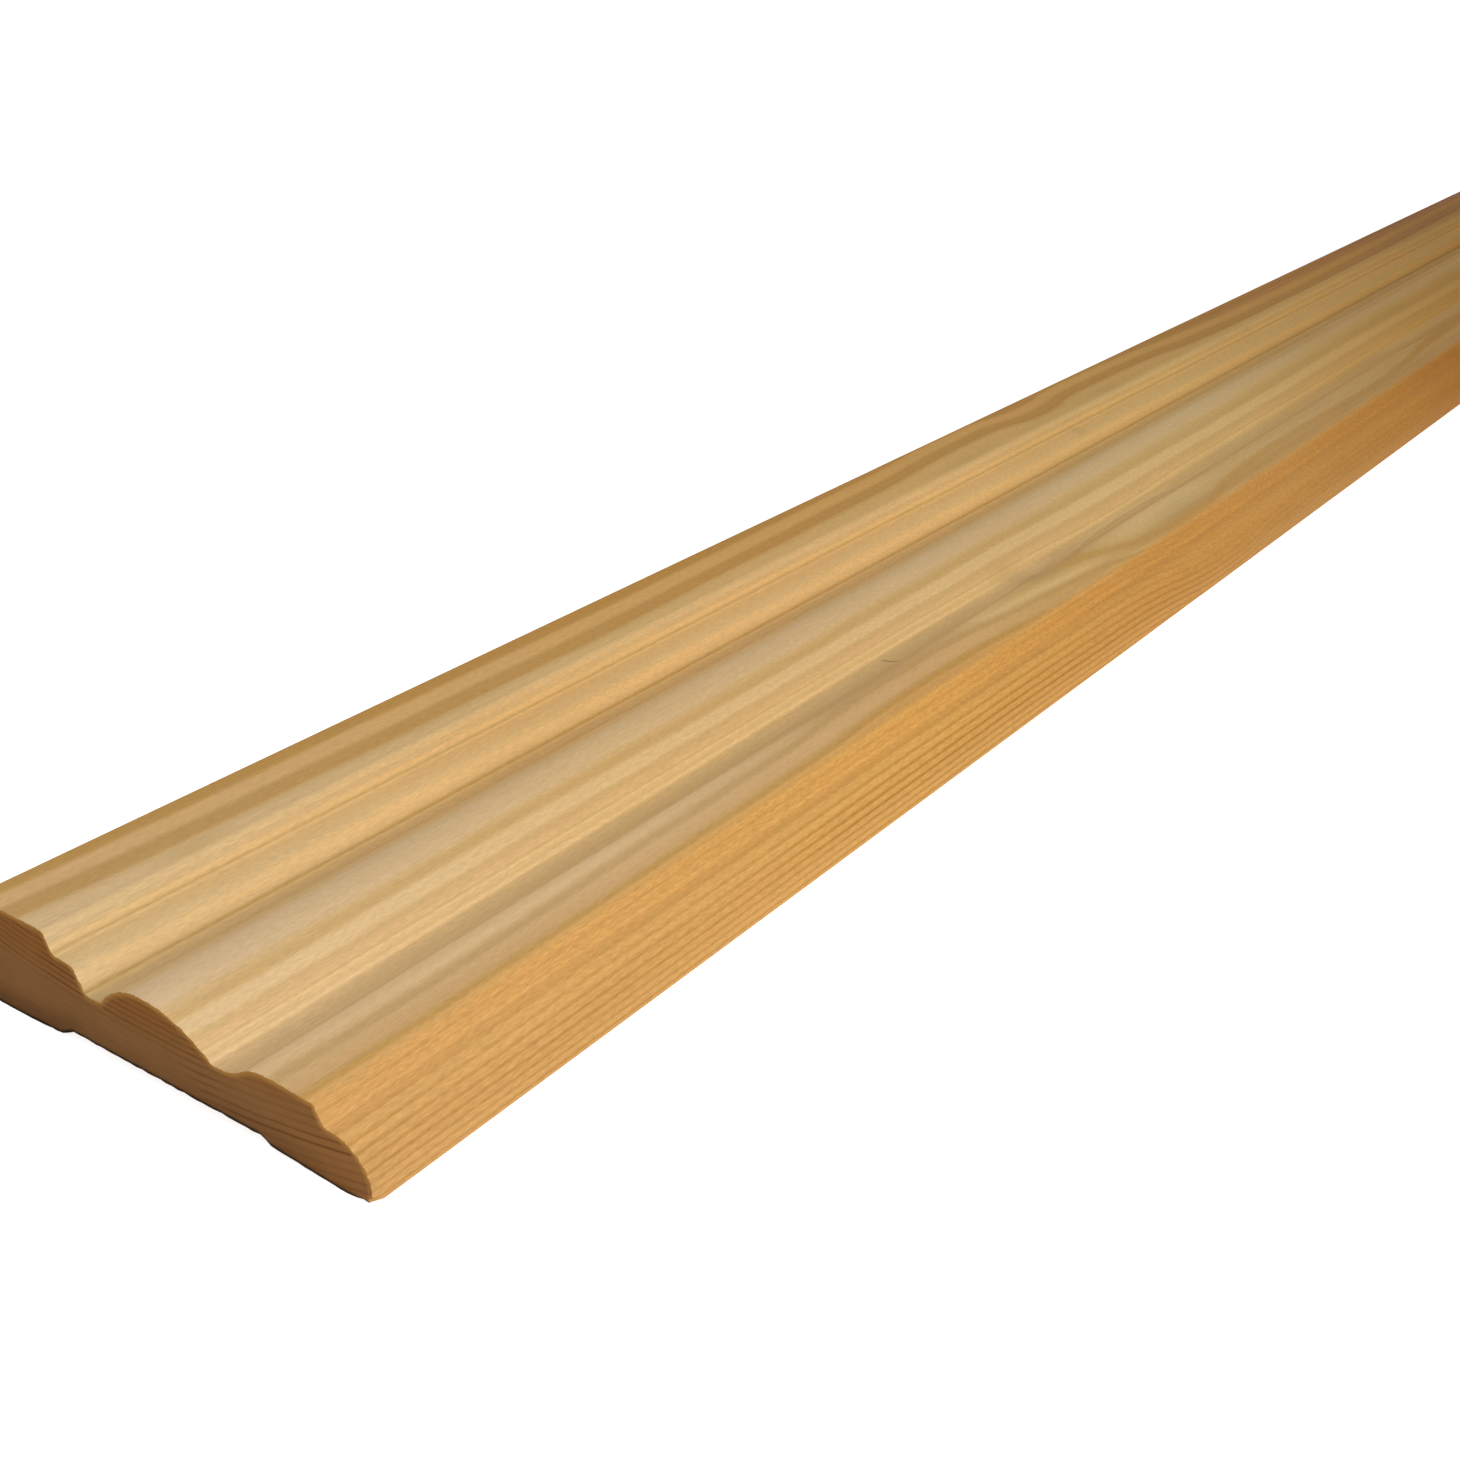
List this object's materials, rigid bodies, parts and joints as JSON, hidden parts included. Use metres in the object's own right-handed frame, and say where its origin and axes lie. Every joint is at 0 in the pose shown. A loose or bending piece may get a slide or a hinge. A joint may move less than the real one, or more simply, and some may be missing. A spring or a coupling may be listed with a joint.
{
  "type": "architrave",
  "caption": "Length of moulded softwood architrave with a plain flat, stepped bead, broad torus, low swell and rounded nose, over a hollow back.",
  "frame": {"origin": "under the middle of the length and of the width, on the plane that the two back feet bear on", "axes": "+X across the width from the thick square edge to the rounded nose, +Y along the length, +Z out from the wall to the moulded face"},
  "size_m": [0.0954, 2.1, 0.0208],
  "materials": {
    "softwood": "planed and moulded bare softwood, unfinished"
  },
  "bodies": {
    "root": {"architrave": "softwood"}
  },
  "joints": []
}
